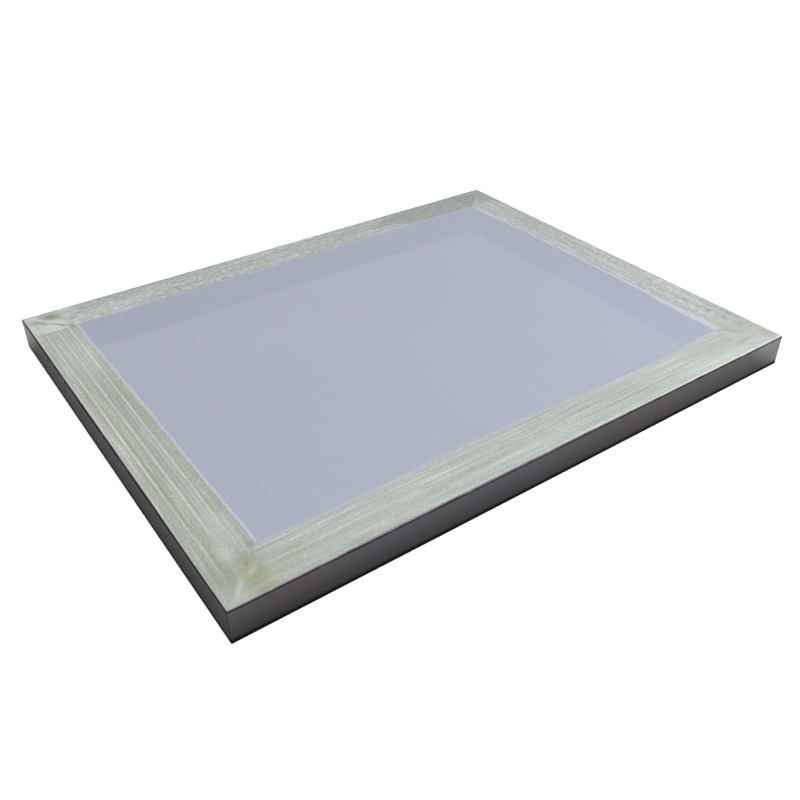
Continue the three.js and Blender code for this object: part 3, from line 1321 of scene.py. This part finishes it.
        thickness = self.film + 0.05 * MM * ridge + 0.016 * MM * waves
        rounding = np.sqrt(np.clip(1.0 - (1.0 - np.clip((across - outer) / self.lip, 0, 1)) ** 2, 0, 1))
        thickness = thickness * (0.25 + 0.75 * rounding) * smoothstep(0.0, self.feather, inner - across)
        overhang = np.clip(self.rail_radius - across, 0.0, self.rail_radius)
        drop = self.rail_radius - np.sqrt(self.rail_radius**2 - overhang**2)
        raised = 0.09 * MM * smoothstep(32.0 * MM, 33.5 * MM, across)
        base = self.layout.rail_height + 0.02 * MM - drop + raised
        upper = self.layout.place(mark.side, along, across, base + 0.02 * MM + thickness)
        lower = self.layout.place(mark.side, along, across, base)

        tones = {tone.value: np.zeros_like(along) for tone in Tone}
        for corner, patches in STAINS.items():
            for tone, rows in patches.items():
                for row in rows:
                    patch = Stain(*row).field(self.layout, corner, upper)
                    tones[tone.value] = np.maximum(tones[tone.value], patch)
        bleed = np.exp(-(((inner - across - mark.bleed_width) / mark.bleed_width) ** 2))
        bleed = bleed * mark.bleed_strength * (0.7 + 0.3 * wander(along, 40 * MM, mark.seed + 50))
        thin = tones[Tone.THIN.value]
        tones[Tone.THIN.value] = np.maximum(thin, 1.0 - smoothstep(0.1 * MM, self.thin_edge, inner - across))
        # The pale rim is partly the pale trimmed edge of the mesh and partly a painted highlight along the
        # outer edge, strongest at the front rail's right end.
        rim = 1.0 - smoothstep(0.4 * MM, 1.6 * MM, across - outer)
        rim = rim * np.interp(share, (-1, 1), mark.rim_strength)
        pale = tones[Tone.PALE.value]
        # The ridges' painted highlight goes into the pale tone, and the painted shade beside them into the
        # shade tone.
        strength = np.interp(share, (-1, 1), mark.ridge_highlight_strength) * (1.0 - tones[Tone.SMOOTH.value])
        for part in (ridge * strength, bleed, rim):
            pale = np.maximum(pale, part)
        shade = tones[Tone.SHADE.value]
        tones[Tone.SHADE.value] = np.maximum(shade, flank_shade * strength * self.flank_shade_strength)
        tones[Tone.PALE.value] = pale
        flat = np.stack(np.broadcast_arrays(along + 0.9 * mark.seed, across), -1)
        return upper, lower, tones, flat

    def build_one(self, mark: BrushMarks) -> bpy.types.Object:
        """Builds one band.

        Args:
            mark: how this band was laid.

        Returns:
            The band, a closed body that holds the mesh's margin inside it.
        """
        upper, lower, tones, flat = self.surface(mark)
        points, faces = slab(upper, lower)
        uv = np.tile(flat.reshape(-1, 2), (2, 1))
        fields = {word: np.tile(values.ravel(), 2) for word, values in tones.items()}
        name = f"{mark.side.word}_adhesive_band"
        material = self.finishes[mark.side]
        piece = make_piece(name, points, facing_out(points, faces), uv, material, fields, 60.0)
        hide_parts(f"{mark.side.word}_adhesive")
        return piece

    def build(self) -> list[bpy.types.Object]:
        """Builds all four bands."""
        return [self.build_one(mark) for mark in self.marks]


@dataclass
class StretchedMesh:
    """The sheet of fabric, pulled flat over the rails and trimmed near their outer faces."""

    layout: Layout
    finish: bpy.types.Material
    lift: float = 0.12 * MM
    cell: float = 4.0 * MM

    def build(self) -> bpy.types.Object:
        """Lays the sheet as a flat grid just above the rails.

        Returns:
            The sheet.
        """
        half_x, half_y = self.layout.mesh_half_length, self.layout.mesh_half_width
        columns, rows = int(2 * half_x / self.cell), int(2 * half_y / self.cell)
        y, x = np.meshgrid(
            np.linspace(-half_y, half_y, rows), np.linspace(half_x, -half_x, columns), indexing="ij"
        )
        z = np.full_like(x, self.layout.rail_height + self.lift)
        points = np.stack([x, y, z], -1).reshape(-1, 3)
        faces = grid_faces(rows, columns)
        piece = make_piece("stretched_mesh", points, faces, points[:, :2], self.finish)
        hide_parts("polyester_mesh")
        return piece


@dataclass
class Studio:
    """White backdrop, soft light and the camera."""

    layout: Layout
    paper: bpy.types.Material
    camera_place: tuple[float, float, float] = (-0.3314, -0.4690, 0.3644)
    camera_turn: float = 34.86
    camera_dip: float = 34.04
    camera_roll: float = -0.33
    lens: float = 39.17
    shift: tuple[float, float] = (0.0125, -0.025)
    sky_strength: float = 1.0
    key_place: tuple[float, float, float] = (0.42, -0.5, 0.62)
    key_size: tuple[float, float] = (0.6, 0.6)
    key_watts: float = 3.2
    floor_reach: float = 6.0
    floor_drop: float = 0.05 * MM

    def floor(self) -> bpy.types.Object:
        """A wide sheet of paper under the frame."""
        steps = np.linspace(-self.floor_reach, self.floor_reach, 5)
        x, y = np.meshgrid(steps, steps)
        points = np.stack([x, y, np.full_like(x, -self.floor_drop)], -1).reshape(-1, 3)
        mesh = bpy.data.meshes.new("backdrop")
        mesh.from_pydata(points.tolist(), [], grid_faces(5, 5)[:, ::-1].tolist())
        mesh.materials.append(self.paper)
        floor = bpy.data.objects.new("backdrop", mesh)
        bpy.context.scene.collection.objects.link(floor)
        return floor

    def key_light(self) -> None:
        """A square soft light aimed at the middle of the frame."""
        light = bpy.data.lights.new("key_softbox", "AREA")
        light.shape = "RECTANGLE"
        light.size, light.size_y = self.key_size
        light.energy = self.key_watts
        lamp = bpy.data.objects.new("key_softbox", light)
        lamp.location = self.key_place
        lamp.rotation_mode = "QUATERNION"
        lamp.rotation_quaternion = (-Vector(self.key_place)).to_track_quat("-Z", "Y")
        bpy.context.scene.collection.objects.link(lamp)

    def camera(self) -> None:
        """The camera, placed by its position, its turn from +Y, its dip and its roll."""
        data = bpy.data.cameras.new("camera")
        data.sensor_width = 36.0
        data.lens = self.lens
        data.shift_x, data.shift_y = self.shift
        data.clip_start, data.clip_end = 0.01, 50.0
        camera = bpy.data.objects.new("camera", data)
        turn = Matrix.Rotation(-math.radians(self.camera_turn), 4, "Z")
        dip = Matrix.Rotation(math.radians(90.0 - self.camera_dip), 4, "X")
        roll = Matrix.Rotation(math.radians(self.camera_roll), 4, "Z")
        camera.matrix_world = Matrix.Translation(self.camera_place) @ turn @ dip @ roll
        bpy.context.scene.collection.objects.link(camera)
        bpy.context.scene.camera = camera

    def build(self) -> None:
        """Builds the floor, the lights and the camera."""
        self.floor()
        self.key_light()
        world = bpy.data.worlds.new("studio")
        world.use_nodes = True
        sky = world.node_tree.nodes["Background"]
        sky.inputs["Color"].default_value = (1.0, 1.0, 1.0, 1.0)
        sky.inputs["Strength"].default_value = self.sky_strength
        bpy.context.scene.world = world
        bpy.context.scene.view_settings.view_transform = "Standard"
        self.camera()


# ---------------------------------------------------------------- the whole frame


def main() -> None:
    """Builds every sub-assembly in the order that the real frame is made."""
    logging.basicConfig(level=logging.INFO, format="%(name)s: %(message)s")
    layout = Layout.from_cad()
    Studio(layout, StudioPaper().material()).build()
    height = layout.rail_height
    metal = {side: SatinExtrudedAluminium(height).material() for side in (Side.FRONT, Side.RIGHT, Side.BACK)}
    # The left rail's metal is a copy with lighter base colours, painted light that lifts that side where the
    # studio leaves it darker, and with no painted edge highlight.
    metal[Side.LEFT] = SatinExtrudedAluminium(
        height, cool="57565B", brown="5A5557", edge_highlight_strength=0.0, lip_shadow_strength=0.7, grazing_tint=0.52
    ).material()
    BoxRails(layout, metal).build()
    CornerWelds(layout, WeldMetal().material(), WeldMetal(metal="B4B4B6", roughness=0.5).material()).build()
    StretchedMesh(layout, WovenPolyester().material()).build()
    small = (2.6 * MM, 1.1 * MM)
    # Each rail's adhesive has its own body tones, partly the glue's own tint and partly painted light:
    # darkest on the back rail and lightest on the front, as the soft light falls from the front right.
    finishes = {
        Side.FRONT: BrushedAdhesive(
            body="9BA19B",
            rosy_strength=0.2,
            streak_strength=0.45,
            grain_strength=0.25,
            grain_size=small,
        ).material(),
        Side.RIGHT: BrushedAdhesive(
            body="939996",
            light="A0A6A3",
            fabric="AAAEB8",
            grain_strength=0.55,
        ).material(),
        Side.BACK: BrushedAdhesive(
            body="8D9592",
            light="99A29F",
            fabric="989DAA",
            streak_strength=0.6,
            grain_strength=0.75,
        ).material(),
        Side.LEFT: BrushedAdhesive(
            body="949B90",
            light="9FA59B",
            fabric="A9AEB8",
            streak_strength=0.4,
            grain_strength=0.3,
            grain_size=small,
        ).material(),
    }
    AdhesiveBands(layout, finishes).build()


if __name__ == "__main__":
    main()
